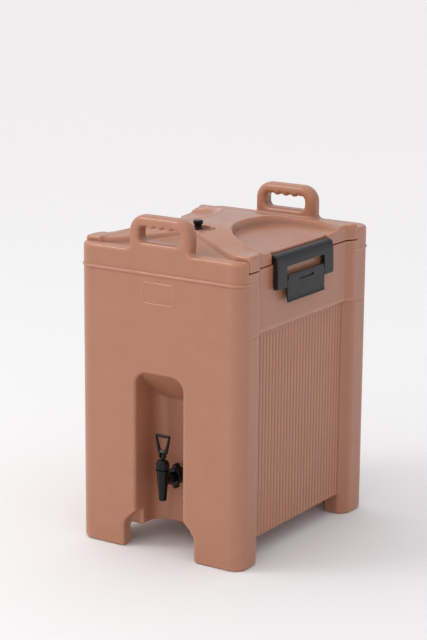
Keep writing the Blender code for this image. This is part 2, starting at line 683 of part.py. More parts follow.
def make_tap(mats):
    centre = (0, TAP_Y, 0)
    body = turned([(NOZZLE_BORE_R, NOZZLE_LOW_Z), (NOZZLE_R, NOZZLE_LOW_Z), (BARREL_R, 0.1775),
                   (FLANGE_R, 0.1790), (FLANGE_R, 0.1815), (0.0105, 0.1825), (0.0105, BARREL_TOP_Z),
                   (BARREL_BORE_R, BARREL_TOP_Z), (BARREL_BORE_R, 0.1480), (NOZZLE_BORE_R, 0.1480)],
                  24, centre, "Z", "tap_body", mats["tap_body"])
    join(body, rod(SHANK_R, TAP_Y + 0.0086, -0.118, (0, 0, SHANK_Z), "Y", 18))
    cut(body, rod(0.0060, TAP_Y + 0.0030, -0.10, (0, 0, SHANK_Z), "Y", 14))

    bonnet = turned([(0.0108, 0.1828), (BONNET_R - 0.0005, 0.1828), (BONNET_R, 0.1850), (BONNET_R, 0.1950),
                     (0.0120, 0.1985), (0.0095, 0.2030), (0.0032, 0.2030), (0.0032, 0.1900),
                     (0.0108, 0.1874)], 20, centre, "Z", "tap_bonnet", mats["tap_bonnet"])
    for i in range(8):
        angle = math.radians(22.5 + 45 * i)
        at = (0.0145 * math.cos(angle), TAP_Y + 0.0145 * math.sin(angle), 0)
        cut(bonnet, rod(0.0018, 0.180, 0.1965, at, "Z", 8))

    turned([(0, 0.1484), (0.0055, 0.1484), (0.0068, 0.1500), (0.0068, 0.1560), (0.0046, 0.1600),
            (0, 0.1600)], 16, centre, "Z", "tap_seat_cup", mats["tap_seat_cup"])
    stem = turned([(0, 0.1603), (0.0034, 0.1603), (0.0034, 0.1632), (0.0026, 0.1640), (0.0026, 0.2060),
                   (0, 0.2060)], 14, centre, "Z", "tap_stem", mats["tap_stem"])
    join(stem, box(-0.0028, TAP_Y - 0.0032, 0.2045, 0.0028, TAP_Y + 0.0032, LEVER_PIN_Z + 0.0040))
    pin_at = (0, TAP_Y, LEVER_PIN_Z)
    cut(stem, rod(0.00155, -0.02, 0.02, pin_at, "X", 12))
    rod(0.0015, -0.0070, 0.0070, pin_at, "X", 12, "tap_lever_pin", mats["tap_lever_pin"])

    tube(0.0037, 0.0062, 0.1640, 0.1870, centre, "Z", 16, "tap_spring", mats["tap_spring"])

    # Lever: a fork round the stem's head, and a ring handle that widens towards its top
    lever = box(-0.0066, TAP_Y - 0.0060, 0.2068, 0.0066, TAP_Y + 0.0060, 0.2212, "tap_lever",
                mats["tap_lever"])
    low, high = LEVER_LOW_HALF, LEVER_HIGH_HALF
    base, top, bar = LEVER_RING_Z, LEVER_TOP_Z, LEVER_BAR
    ring = [(-low, base), (low, base), (high, top - 0.003), (high - 0.003, top)]
    ring += [(-high + 0.003, top), (-high, top - 0.003)]
    loop = prism(ring, TAP_Y - 0.0028, TAP_Y + 0.0028, "Y")
    window = [(-low + bar + 0.001, base + 0.007), (low - bar - 0.001, base + 0.007)]
    window += [(high - bar, top - bar), (-high + bar, top - bar)]
    cut(loop, prism(window, -FAR, -0.20, "Y"))
    join(lever, loop)
    cut(lever, box(-0.0031, TAP_Y - 0.0100, 0.2000, 0.0031, TAP_Y + 0.0100, LEVER_PIN_Z + 0.0062))
    cut(lever, rod(0.00158, -0.02, 0.02, pin_at, "X", 12))
    set_origin(lever, pin_at)

    # Wing collar on the shank, and the seals and nut that clamp the wall
    collar = tube(SHANK_R + GAP, 0.0190, -0.2070, -0.1785, (0, 0, SHANK_Z), "Y", 20, "tap_collar",
                  mats["tap_collar"])
    for sign in (-1, 1):
        wing = prism([(-0.0050, sign * 0.0150), (0.0050, sign * 0.0150), (0.0035, sign * 0.0270),
                      (-0.0035, sign * 0.0270)], -0.2010, -0.1860, "Y")
        wing.location.z = SHANK_Z
        join(collar, wing)
    tube(SHANK_R + GAP, 0.0180, -0.1782, RECESS_BACK_Y - GAP, (0, 0, SHANK_Z), "Y", 20,
         "tap_gasket_outer", mats["tap_gasket_outer"])
    inner = TANK_LOW_FRONT_Y + GAP
    tube(SHANK_R + GAP, 0.0165, inner, inner + 0.0025, (0, 0, SHANK_Z), "Y", 20,
         "tap_gasket_inner", mats["tap_gasket_inner"])
    nut = rod(0.0175, inner + 0.0028, inner + 0.0125, (0, 0, SHANK_Z), "Y", 6,
              "tap_nut", mats["tap_nut"])
    cut(nut, rod(SHANK_R + GAP, -0.20, -0.10, (0, 0, SHANK_Z), "Y", 20))


def make_materials():
    brown = (0.36, 0.195, 0.140)
    lid_brown = (0.40, 0.225, 0.165)
    nylon = (0.045, 0.038, 0.036)
    black = (0.012, 0.011, 0.011)
    seal = (0.62, 0.60, 0.56)
    foam = (0.80, 0.72, 0.48)
    steel = (0.60, 0.60, 0.60)
    looks = {
        "body_shell": (brown, 0.48), "body_foam": (foam, 0.9), "body_fill_plug": (brown, 0.5),
        "lid_shell": (lid_brown, 0.46), "lid_foam": (foam, 0.9), "lid_fill_plug": (brown, 0.5),
        "lid_gasket": (seal, 0.7), "vent_gasket": (seal, 0.7), "vent_cap": (black, 0.35),
        "latch_plate": (nylon, 0.45), "latch_tab": (nylon, 0.42), "latch_keeper": (nylon, 0.5),
        "latch_hook": (nylon, 0.5),
        "tap_body": (black, 0.25), "tap_bonnet": (black, 0.25), "tap_stem": (black, 0.4),
        "tap_seat_cup": (seal, 0.6), "tap_lever": (black, 0.25), "tap_collar": (black, 0.35),
        "tap_gasket_outer": (seal, 0.7), "tap_gasket_inner": (seal, 0.7), "tap_nut": (black, 0.4),
    }
    mats = {name: material(name, *look) for name, look in looks.items()}
    for name in ("latch_rod", "latch_tab_pin", "latch_spring", "latch_screw", "tap_spring", "tap_lever_pin"):
        mats[name] = material(name, steel, 0.3, 1.0)
    return mats


def main():
    clear_scene()
    mats = make_materials()
    make_body(mats)
    make_lid(mats)
    make_vent(mats)
    for side, word in ((1, "right"), (-1, "left")):
        make_latch(side, word, mats)
    make_tap(mats)


main()
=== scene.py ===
"""Looks of the insulated beverage dispenser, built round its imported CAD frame.

Every moulded piece is a smooth distance field in metres, which a surface net turns into a mesh with
rounded edges, and it rides on the CAD body that it belongs to. Pieces that aren't remade, such as the
pins, the screws and the springs, stay as the CAD model has them and take node materials.
"""
import json
import math

import bpy
import numpy as np
from mathutils import Matrix, Vector


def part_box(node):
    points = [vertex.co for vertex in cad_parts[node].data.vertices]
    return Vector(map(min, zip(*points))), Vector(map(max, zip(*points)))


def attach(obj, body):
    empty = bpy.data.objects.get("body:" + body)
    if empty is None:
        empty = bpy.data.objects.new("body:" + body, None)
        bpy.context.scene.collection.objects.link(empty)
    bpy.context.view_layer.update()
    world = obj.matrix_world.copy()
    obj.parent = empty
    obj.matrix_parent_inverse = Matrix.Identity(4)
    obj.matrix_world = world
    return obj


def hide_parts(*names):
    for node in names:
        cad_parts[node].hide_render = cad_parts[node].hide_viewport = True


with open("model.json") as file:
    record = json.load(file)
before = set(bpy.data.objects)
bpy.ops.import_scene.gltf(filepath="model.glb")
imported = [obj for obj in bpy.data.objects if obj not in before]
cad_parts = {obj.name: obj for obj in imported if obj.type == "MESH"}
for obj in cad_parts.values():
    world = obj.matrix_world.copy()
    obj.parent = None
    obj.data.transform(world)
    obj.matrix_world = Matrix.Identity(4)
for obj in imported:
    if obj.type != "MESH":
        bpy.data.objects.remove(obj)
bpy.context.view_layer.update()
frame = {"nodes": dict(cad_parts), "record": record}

SIDES = (("right", 1), ("left", -1))

# The sizes of the tank and the lid, as the CAD model has them
WIDTH = 0.405
DEPTH = 0.522
RIM_Z = 0.645
SEAM_Z = 0.619
HANDLE_Z = 0.716
BASE_Z = 0.045
CORNER_R = 0.031
BEAD_Z = 0.5975
BEAD_PROUD = 0.0025
BAND_X = 0.1905
POST_FRONT_Y = -0.202
POST_REAR_Y = 0.193
POST_BLEND = 0.026
PANEL_X = 0.1825
PANEL_TOP_Z = 0.485
RIB_PITCH = 0.0123
RIB_COUNT = 28
RIBBED_Y = RIB_PITCH * RIB_COUNT / 2
SIDE_GAP_Y = 0.174
RIB_DEPTH = 0.0026
BAY_FRONT_Y = -0.2345
BAY_REAR_Y = 0.2045
BAY_Y = (BAY_FRONT_Y + BAY_REAR_Y) / 2
LID_GAP = 0.0012
LID_TOP_Z = 0.678
RIDGE_FRONT_Y = -0.128
RIDGE_REAR_Y = 0.110
SCOOP_X = 0.197
SCOOP_Y = -0.012
SCOOP_HALF_X = 0.152
SCOOP_HALF_Y = 0.158
SCOOP_Z = 0.6430
SCOOP_END_Z = 0.6545
REBATE_X = 0.1805
TANK_X = 0.140
TANK_REAR_Y = 0.180
TANK_FRONT_Y = -0.205
TANK_LOW_FRONT_Y = -0.140
TANK_FLOOR_Z = 0.130
TANK_STEP_Z = 0.418
TANK_STEP_RISE = 0.044
PLUG_DEPTH = 0.030
PLUG_GAP = 0.0015
HANDLE_HALF = 0.076
HANDLE_THICK = 0.0345
GRIP_HALF = 0.050
GRIP_LOW_Z = 0.662
GRIP_HIGH_Z = 0.693
GRIP_WAVE = 0.022
RECESS_HALF = 0.0598
RECESS_BACK_Y = -0.175
RECESS_TOP_Z = 0.386
RECESS_R = 0.030
RECESS_SLOPE = math.radians(40)
FOOT_GAP_HALF = 0.0888
FOOT_DEPTH = 0.030
FOOT_INNER_X = 0.150
FOOT_ARCH_Z = 0.085
FOOT_SHOULDER = 0.028
OUTSIDE = 0.08

# The latches', the vent's and the tap's places, from the CAD model's joints
JOINTS = frame["record"]["behaviour"]["joints"]
HINGE = {joint["name"]: Vector(joint["pos_m"]) for joint in JOINTS if "pos_m" in joint}
PLATE_LOW_Z = 0.568
WINDOW_TOP_Z = 0.6110
TAP = HINGE["tap_lever_tilt"]
VENT = HINGE["vent_cap_turn"]
SHANK_Z = 0.155
SHANK_R = 0.0103
SHANK_BORE_R = 0.0060
RING_BORE_R = 0.0108
NUT_R = 0.0175


# Distance fields: negative inside, in metres

def smooth_step(t):
    """0 below 0, 1 above 1, and a smooth rise between."""
    t = np.clip(t, 0.0, 1.0)
    return t * t * (3 - 2 * t)


def union(a, b, soft):
    """Both solids, with a fillet of about that width where they meet."""
    meet = np.maximum(soft - np.abs(a - b), 0.0)
    return np.minimum(a, b) - meet * meet / (4 * soft)


def overlap(a, b, soft):
    return -union(-a, -b, soft)


def remove(a, b, soft):
    return overlap(a, -b, soft)


def rounded(u, v, half_u, half_v, radius):
    """Distance to a rectangle with rounded corners."""
    a = np.abs(u) - half_u + radius
    b = np.abs(v) - half_v + radius
    outside = np.hypot(np.maximum(a, 0.0), np.maximum(b, 0.0))
    return outside + np.minimum(np.maximum(a, b), 0.0) - radius


def polygon(u, v, points):
    """Distance to a closed outline of 2-D points."""
    nearest = np.full(np.broadcast(u, v).shape, 1e9)
    inside = np.zeros(nearest.shape, bool)
    for (ax, ay), (bx, by) in zip(points, points[1:] + points[:1]):
        ex, ey = bx - ax, by - ay
        t = np.clip(((u - ax) * ex + (v - ay) * ey) / (ex * ex + ey * ey), 0.0, 1.0)
        nearest = np.minimum(nearest, np.hypot(u - ax - t * ex, v - ay - t * ey))
        if ey:
            crosses = (v >= min(ay, by)) & (v < max(ay, by)) & (u < ax + (v - ay) * ex / ey)
            inside ^= crosses
    return np.where(inside, -nearest, nearest)


def span_of(y, low, high):
    """Distance beyond a box's ends along Y: negative between them."""
    return np.abs(y - (low.y + high.y) / 2) - (high.y - low.y) / 2


def side_x(y):
    """Half width under the lid: full at the corner posts, set back between them."""
    front = smooth_step((y - POST_FRONT_Y) / POST_BLEND)
    rear = smooth_step((POST_REAR_Y - y) / POST_BLEND)
    return WIDTH / 2 - (WIDTH / 2 - BAND_X) * np.minimum(front, rear)


def panel_x(y, z):
    """Half width of the lower panel: ribbed, with ends that slope out to the corner posts."""
    phase = (y + RIBBED_Y + 0.0005) / RIB_PITCH
    valley = np.abs(phase - np.floor(phase) - 0.5) * 2
    ends = smooth_step((RIBBED_Y + 0.001 - np.abs(y)) / 0.003)
    depth = RIB_DEPTH * ends * smooth_step((PANEL_TOP_Z - 0.001 - z) / 0.010)
    run = np.where(y < 0, 1.25, 0.95)
    flank = np.maximum(np.abs(y) - RIBBED_Y, 0.0) / run
    blend = np.maximum(0.003 - np.abs(flank - 0.0015), 0.0)
    return PANEL_X + flank + blend * blend / 0.020 - depth * valley ** 4


def handle_field(x, y, z, side):
    """One end wall's handle, as a solid arch that rises from the rim."""
    middle = side * (DEPTH - HANDLE_THICK) / 2
    low = SEAM_Z - 0.025
    arch = rounded(x, z - (HANDLE_Z + low) / 2, HANDLE_HALF, (HANDLE_Z - low) / 2, 0.036)
    return overlap(arch, np.abs(y - middle) - HANDLE_THICK / 2, 0.015)


def grip_field(x, y, z):
    """The holes through both handles, with finger waves along their tops."""
    half = (GRIP_HIGH_Z - GRIP_LOW_Z) / 2
    rise = smooth_step((z - GRIP_LOW_Z) / (2 * half)) * smooth_step((0.042 - np.abs(x)) / 0.006)
    waved = z + rise * (0.002 + 0.0022 * np.cos(2 * math.pi * x / GRIP_WAVE))
    hole = rounded(x, waved - GRIP_LOW_Z - half, GRIP_HALF, half, 0.011)
    return np.maximum(hole, 0.19 - np.abs(y))


def recess_field(x, y, z):
    """The tap recess: an arch from the front, a U in plan, under a ceiling that falls to the back."""
    low = -OUTSIDE
    arch = rounded(x, z - (RECESS_TOP_Z + low) / 2, RECESS_HALF, (RECESS_TOP_Z - low) / 2, RECESS_R)
    front = -0.36
    plan = rounded(x, y - (RECESS_BACK_Y + front) / 2, RECESS_HALF, (RECESS_BACK_Y - front) / 2, RECESS_R)
    rise = (z - RECESS_TOP_Z - 0.004) * math.cos(RECESS_SLOPE)
    ceiling = rise + (y + DEPTH / 2) * math.sin(RECESS_SLOPE)
    return overlap(overlap(arch, plan, 0.004), ceiling, 0.003)


def foot_field(x, y, z):
    """What is taken away under the base, between the feet and out through the sides and ends."""
    inner_y = DEPTH / 2 - FOOT_DEPTH
    middle = overlap(rounded(x, y, FOOT_INNER_X, inner_y, 0.02), z - BASE_Z, 0.006)
    side = overlap(np.abs(y) - SIDE_GAP_Y, z - BASE_Z, 0.006)
    slope = math.atan2(FOOT_SHOULDER, FOOT_GAP_HALF - RECESS_HALF)
    shoulder = (np.abs(x) - RECESS_HALF) * math.sin(slope) + (z - FOOT_ARCH_Z) * math.cos(slope)
    end = overlap(np.abs(x) - FOOT_GAP_HALF, shoulder, 0.010)
    end = overlap(end, z - FOOT_ARCH_Z, 0.012)
    end = overlap(end, inner_y - np.abs(y), 0.010)
    return union(union(middle, side, 0.003), end, 0.008)


def tank_field(x, y, z):
    """The tank's interior: narrow behind the tap recess, wider above it."""
    forward = np.clip((z - TANK_STEP_Z) / TANK_STEP_RISE, 0.0, 1.0)
    front = TANK_LOW_FRONT_Y + (TANK_FRONT_Y - TANK_LOW_FRONT_Y) * forward
    ends = overlap((front - y) * 0.8, y - TANK_REAR_Y, 0.004)
    return overlap(overlap(ends, np.abs(x) - TANK_X, 0.030), TANK_FLOOR_Z - z, 0.030)


def tank_shell_field(x, y, z):
    """The tank as one moulding: its walls, handles, bead, feet, recess and open interior."""
    plan = rounded(x, y, WIDTH / 2, DEPTH / 2, CORNER_R)
    field = overlap(overlap(plan, z - RIM_Z, 0.009), -z, 0.008)
    for side in (-1, 1):
        field = union(field, handle_field(x, y, z, side), 0.009)
    field = np.maximum(field, np.abs(y) - DEPTH / 2)
    bead = overlap(plan - BEAD_PROUD, np.abs(z - BEAD_Z) - 0.0030, 0.0028)
    field = union(field, bead, 0.0006)
    bay = np.maximum(np.maximum(BAY_FRONT_Y - y, y - BAY_REAR_Y), np.maximum(SEAM_Z - z, z - 0.655))
    field = remove(field, bay, 0.0035)
    field = remove(field, grip_field(x, y, z), 0.011)
    band = np.maximum(side_x(y) - np.abs(x), PANEL_TOP_Z - 0.001 - z)
    field = remove(field, band, 0.004)
    panel = overlap(z - PANEL_TOP_Z, (panel_x(y, z) - np.abs(x)) * 0.85, 0.003)
    field = remove(field, panel, 0.006)
    field = remove(field, recess_field(x, y, z), 0.010)
    field = remove(field, foot_field(x, y, z), 0.006)
    return remove(field, tank_field(x, y, z), 0.006)


def lid_height(x, y):
    """The lid's top: ridges from its corners to a plateau, scoops at the sides, wells at the ends."""
    bay_half = (BAY_REAR_Y - BAY_FRONT_Y) / 2
    rim_fall = np.maximum(np.abs(x) / (WIDTH / 2), np.abs(y - BAY_Y) / bay_half)
    z = LID_TOP_Z - 0.027 * smooth_step((rim_fall - 0.30) / 0.70)
    for edge, apex in ((BAY_FRONT_Y, RIDGE_FRONT_Y), (BAY_REAR_Y, RIDGE_REAR_Y)):
        along = (y - edge) / (apex - edge)
        inside = 0.183 * (1 - along) - np.abs(x)
        depth = 0.012 * (1 - along) + 0.007
        fall = 0.65 * smooth_step(inside / 0.015) + 0.35 * smooth_step(inside / 0.055)
        z = z - np.where(along < 1, depth * fall * smooth_step((1 - along) / 0.22), 0.0)
    for side in (-1, 1):
        reach = np.hypot((x - side * SCOOP_X) / SCOOP_HALF_X, (y - SCOOP_Y) / SCOOP_HALF_Y)
        inwards = smooth_step((0.190 - np.abs(x)) / 0.13)
        floor = SCOOP_Z + 0.012 * inwards + 0.004 * smooth_step((reach - 0.5) / 0.5)
        lip = np.exp(-((reach - 1.035) / 0.035) ** 2) * smooth_step((0.186 - np.abs(x)) / 0.03)
        z = z + 0.0016 * lip
        z = z + (np.minimum(z, floor) - z) * smooth_step((1.0 - reach) / 0.060)
        for end in (-1, 1):
            past = smooth_step((end * (y - BAY_Y) - 0.1655) / 0.006)
            past = past * smooth_step((side * x - 0.158) / 0.010)
            z = z + (np.maximum(z, SCOOP_END_Z) - z) * past
    trough = np.hypot(np.maximum(np.abs(x) - 0.027, 0.0), y - VENT.y) / 0.0125
    seat = VENT.z - 0.0011
    return z + (np.minimum(z, seat) - z) * smooth_step((1.25 - trough) / 0.35)


def lid_field(x, y, z):
    """The lid with its plug, and with rebates for the latches, the front handle and the vent cap."""
    front = BAY_FRONT_Y + LID_GAP
    rear = BAY_REAR_Y - LID_GAP
    field = overlap((z - lid_height(x, y)) * 0.85, np.abs(x) - side_x(y), 0.007)
    field = overlap(field, np.abs(y - (front + rear) / 2) - (rear - front) / 2, 0.006)
    rim = np.minimum(side_x(y) - np.abs(x), np.minimum(y - front, rear - y))
    seam = SEAM_Z + 0.0003 + 0.0023 * smooth_step((0.012 - rim) / 0.004)
    field = overlap(field, seam - z, 0.0012)
    notch_y = -DEPTH / 2 + HANDLE_THICK + LID_GAP
    notch = overlap(np.abs(x) - HANDLE_HALF - LID_GAP, y - notch_y, 0.002)
    field = remove(field, notch, 0.004)
    for word, side in SIDES:
        low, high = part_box(f"latch_plate_{word}")
        rebate = overlap(span_of(y, low, high) - 0.0025, REBATE_X - side * x, 0.003)
        field = remove(field, rebate, 0.003)
    field = remove(field, np.maximum(np.hypot(x, y - VENT.y) - 0.0125, VENT.z - 0.0021 - z), 0.001)
    plug_y = (TANK_FRONT_Y + TANK_REAR_Y) / 2
    half_y = (TANK_REAR_Y - TANK_FRONT_Y) / 2 - PLUG_GAP
    plug = rounded(x, y - plug_y, TANK_X - PLUG_GAP, half_y, 0.016)
    plug = overlap(plug, SEAM_Z - PLUG_DEPTH - z, 0.006)
    plug = np.maximum(plug, z - SEAM_Z - 0.004)
    return union(field, plug, 0.0015)


def plate_profile(hinge):
    """Outline of a latch plate's section, outwards and up from its hinge."""
    skin = [(0.0, 0.0050), (0.0035, 0.0050), (0.0060, 0.0046), (0.0088, 0.0034), (0.0110, 0.0018),
            (0.0128, -0.0006), (0.0142, -0.0040), (0.0155, -0.0120), (0.0165, -0.0300),
            (0.0170, PLATE_LOW_Z - hinge.z)]
    inner = [(0.0137, PLATE_LOW_Z - hinge.z), (0.0132, -0.0300), (0.0121, -0.0120), (0.0100, -0.0045),
             (0.0070, -0.0020)]
    knuckle = [(0.0050 * math.cos(a), 0.0050 * math.sin(a)) for a in np.radians(np.arange(-45, -261, -24))]
    return skin + inner + knuckle


def plate_field(x, y, z, word, side):
    """A latch plate: a hooked section with end skirts and an opening for the tab."""
    hinge = HINGE[f"latch_swing_{word}"]
    low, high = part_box(f"latch_plate_{word}")
    u, v = side * (x - hinge.x), z - hinge.z
    span = span_of(y, low, high)
    field = overlap(polygon(u, v, plate_profile(hinge)), span, 0.0022)
    window_top = WINDOW_TOP_Z - hinge.z
    tab_low, tab_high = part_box(f"latch_tab_{word}")
    tab_mid = (tab_low.y + tab_high.y) / 2
    tab_half = (tab_high.y - tab_low.y) / 2 + 0.0006
    across = np.abs(y - tab_mid)
    lip = rounded(u - 0.007, v, 0.0064, 0.2, 0.001)
    skirt_low = overlap(overlap(v - window_top + 0.004, -0.066 - v, 0.001), lip, 0.001)
    rib = np.abs(across - tab_half - 0.0015) - 0.0015
    field = union(field, overlap(overlap(skirt_low, rib, 0.001), 0.0087 - u, 0.001), 0.0015)
    ends = np.abs(span + 0.0015) - 0.0015
    skirt = overlap(overlap(np.abs(v + 0.0360) - 0.0300, lip, 0.001), 0.0054 - u, 0.001)
    field = union(field, overlap(skirt, ends, 0.001), 0.0015)
    opening = overlap(across - tab_half, v - window_top, 0.003)
    return remove(field, opening, 0.0014)


def tab_field(x, y, z, word, side):
    """A latch tab: a grooved plate round its pin, with a slot across its face and room for its spring."""
    pin = HINGE[f"latch_tab_tilt_{word}"]
    low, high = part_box(f"latch_tab_{word}")
    u, v = side * (x - pin.x), z - pin.z
    face = [(0.0036, 0.0048), (0.0042, 0.0), (0.0046, -0.030), (0.0046, -0.041), (0.0050, -0.046),
            (0.0064, -0.0515)]
    back = [(0.0028, -0.0522), (0.0012, -0.043), (0.0007, -0.036), (0.0007, -0.010), (-0.0020, -0.0045)]
    turn = [(0.0043 * math.cos(a), 0.0043 * math.sin(a)) for a in np.radians(np.arange(225, 104, -15))]
    middle = (low.y + high.y) / 2
    span = span_of(y, low, high)
    field = overlap(polygon(u, v, face + back + turn), span, 0.0020)
    slot = rounded(y - middle, v + 0.0085, 0.029, 0.0027, 0.0012)
    field = remove(field, np.maximum(slot, 0.0014 - u), 0.0004)
    grooves = 0.00022 * (0.5 + 0.5 * np.cos(2 * math.pi * (y - middle) / 0.0031))
    proud = smooth_step((u - 0.002) / 0.001) * smooth_step((-0.014 - v) / 0.003)
    proud = proud * smooth_step((v + 0.050) / 0.004)
    field = field + grooves * proud
    pocket = overlap(np.abs(y - middle) - 0.008, np.maximum(u - 0.003, np.abs(v) - 0.0052), 0.001)
    field = remove(field, pocket, 0.0008)
    shoulder = np.maximum(-span - 0.0035, -0.0042 - v)
    return remove(field, overlap(shoulder, 0.0017 - np.hypot(u, v), 0.0004), 0.0006)


def hook_field(x, y, z, word, side):
    """The hook on a tab's inner face."""
    pin = HINGE[f"latch_tab_tilt_{word}"]
    low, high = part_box(f"latch_hook_{word}")
    outline = [(0.0004, -0.0262), (-0.0046, -0.0312), (-0.0046, -0.0330), (0.0004, -0.0364)]
    return overlap(polygon(side * (x - pin.x), z - pin.z, outline), span_of(y, low, high), 0.0008)


def keeper_field(x, y, z, word, side):
    """The keeper on the tank, with a lip for the hook and holes for its two screws."""
    low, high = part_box(f"latch_keeper_{word}")
    outline = [(0.1908, 0.5560), (0.1925, 0.5560), (0.1984, 0.5610), (0.1984, 0.5650), (0.1932, 0.5690),
               (0.1932, 0.5830), (0.1908, 0.5830)]
    field = overlap(polygon(side * x, z, outline), span_of(y, low, high), 0.0012)
    for screw in ("1", "2"):
        a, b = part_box(f"latch_screw_{word}_{screw}")
        field = remove(field, np.hypot(y - (a.y + b.y) / 2, z - (a.z + b.z) / 2) - 0.0022, 0.0005)
    return field


def vent_field(x, y, z):
    """The vent cap: a waisted knob with a fluted head and a screwdriver slot."""
    v = y - VENT.y
    h = z - VENT.z
    around = np.hypot(x, v)
    flutes = 0.0005 * (0.5 + 0.5 * np.cos(16 * np.arctan2(v, x + 1e-9)))
    base = overlap(around - 0.0105, np.abs(h - 0.0013) - 0.0011, 0.0012)
    neck = overlap(around - 0.0078, np.abs(h - 0.008) - 0.0076, 0.0012)
    head = overlap(around - 0.0102 + flutes, np.abs(h - 0.0150) - 0.0043, 0.0024)
    field = union(union(base, neck, 0.0030), head, 0.0022)
    slot = np.maximum(np.abs(v) - 0.0009, 0.0178 - h)
    return remove(field, slot, 0.0006)


# Surface nets

CORNERS = [(i & 1, i >> 1 & 1, i >> 2 & 1) for i in range(8)]
CELL_EDGES = [(a, b) for a in range(8) for b in range(a + 1, 8) if (a ^ b) in (1, 2, 4)]


def stations(start, *spans):
    """Grid stations from start: each span is (where it ends, its largest step)."""
    values = [start]
    for end, step in spans:
        count = max(1, round(abs(end - values[-1]) / step))
        values += list(np.linspace(values[-1], end, count + 1)[1:])
    return np.array(values)


def mirrored_stations(*spans):
    """Stations from 0 outwards, on both sides."""
    half = stations(0.0, *spans)
    return np.concatenate([-half[:0:-1], half])


def surface_net(axes, values):
    """Points and quads of the zero surface of a field that is given at a grid's points."""
    inside = values < 0
    size = [len(a) - 1 for a in axes]
    count = np.zeros(size, np.int8)
    for i, j, k in CORNERS:
        count += inside[i:i + size[0], j:j + size[1], k:k + size[2]]
    cells = np.argwhere((count > 0) & (count < 8))
    index = np.full(size, -1, np.int32)
    index[tuple(cells.T)] = np.arange(len(cells))
    at = [values[tuple((cells + corner).T)] for corner in CORNERS]
    total = np.zeros((len(cells), 3))
    hits = np.zeros(len(cells))
    for a, b in CELL_EDGES:
        crosses = (at[a] < 0) != (at[b] < 0)
        t = at[a] / np.where(crosses, at[a] - at[b], 1.0)
        start, end = np.array(CORNERS[a]), np.array(CORNERS[b])
        total += np.where(crosses[:, None], start + t[:, None] * (end - start), 0.0)
        hits += crosses
    place = total / hits[:, None]
    points = np.empty_like(place)
    for n, axis in enumerate(axes):
        low, high = axis[cells[:, n]], axis[cells[:, n] + 1]
        points[:, n] = low + place[:, n] * (high - low)
    quads = []
    for n in range(3):
        u, v = (n + 1) % 3, (n + 2) % 3
        lower = [slice(1, -1)] * 3
        upper = [slice(1, -1)] * 3
        lower[n], upper[n] = slice(0, -1), slice(1, None)
        a, b = inside[tuple(lower)], inside[tuple(upper)]
        edges = np.argwhere(a != b)
        outward = a[tuple(edges.T)]
        edges[:, u] += 1
        edges[:, v] += 1
        ring = []
        for du, dv in ((1, 1), (0, 1), (0, 0), (1, 0)):
            cell = edges.copy()
            cell[:, u] -= du
            cell[:, v] -= dv
            ring.append(index[tuple(cell.T)])
        ring = np.stack(ring, 1)
        ring[~outward] = ring[~outward][:, ::-1]
        quads.append(ring)
    return points, np.concatenate(quads)


def gradient(field, points, step=0.0005):
    """The field's slope at each point."""
    columns = []
    for n in range(3):
        ahead, behind = points.copy(), points.copy()
        ahead[:, n] += step
        behind[:, n] -= step
        columns.append((field(*ahead.T) - field(*behind.T)) / (2 * step))
    return np.stack(columns, 1)


def bend(field, points, reach):
    """How sharply the surface bends: positive along edges, negative along inside corners."""
    total = -6 * field(*points.T)
    for n in range(3):
        for sign in (-1, 1):
            moved = points.copy()
            moved[:, n] += sign * reach
            total = total + field(*moved.T)
    return total / reach


def new_mesh(name, points, faces):
    mesh = bpy.data.meshes.new(name)
    sides = faces.shape[1]
    mesh.vertices.add(len(points))
    mesh.vertices.foreach_set("co", points.astype(np.float32).ravel())
    mesh.loops.add(faces.size)
    mesh.loops.foreach_set("vertex_index", faces.astype(np.int32).ravel())
    mesh.polygons.add(len(faces))
    mesh.polygons.foreach_set("loop_start", np.arange(0, faces.size, sides, dtype=np.int32))
    mesh.update(calc_edges=True)
    return mesh


def show(mesh, name, body, mat, replaces):
    """An object that rides on a CAD body and stands for that body's named nodes."""
    obj = bpy.data.objects.new(name, mesh)
    bpy.context.scene.collection.objects.link(obj)
    mesh.materials.clear()
    mesh.materials.append(mat)
    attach(obj, body)
    if replaces:
        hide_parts(*replaces)


def thinned(mesh, triangles):
    """The mesh with flat stretches collapsed until it has about that many triangles."""
    holder = bpy.data.objects.new("thinning", mesh)
    bpy.context.scene.collection.objects.link(holder)
    collapse = holder.modifiers.new("collapse", "DECIMATE")
    collapse.ratio = min(1.0, triangles / (2 * len(mesh.polygons)))
    graph = bpy.context.evaluated_depsgraph_get()
    result = bpy.data.meshes.new_from_object(holder.evaluated_get(graph))
    bpy.data.objects.remove(holder, do_unlink=True)
    return result


def mould(name, field, axes, body, mat, replaces, triangles=None, reach=0.003):
    """A piece whose surface is a field's zero level, with the field's own normals."""
    x, y, z = axes
    grid = field(x[:, None, None], y[None, :, None], z[None, None, :])
    points, quads = surface_net(axes, np.ascontiguousarray(grid))
    mesh = new_mesh(name, points, quads)
    if triangles and 2 * len(quads) > triangles:
        mesh = thinned(mesh, triangles)
        mesh.name = name
    points = np.empty(len(mesh.vertices) * 3)
    mesh.vertices.foreach_get("co", points)
    points = points.reshape(-1, 3)
    for _ in range(3):
        slope = gradient(field, points)
        length = np.maximum((slope ** 2).sum(1), 0.2)
        off = np.clip(field(*points.T), -0.001, 0.001)
        points -= (off / length)[:, None] * slope
    mesh.vertices.foreach_set("co", points.astype(np.float32).ravel())
    slope = gradient(field, points)
    slope /= np.maximum(np.linalg.norm(slope, axis=1), 1e-9)[:, None]
    edge = mesh.attributes.new("edge", "FLOAT", "POINT")
    edge.data.foreach_set("value", bend(field, points, reach).astype(np.float32))
    mesh.shade_smooth()
    mesh.normals_split_custom_set_from_vertices(slope)
    show(mesh, name, body, mat, replaces)


# Materials

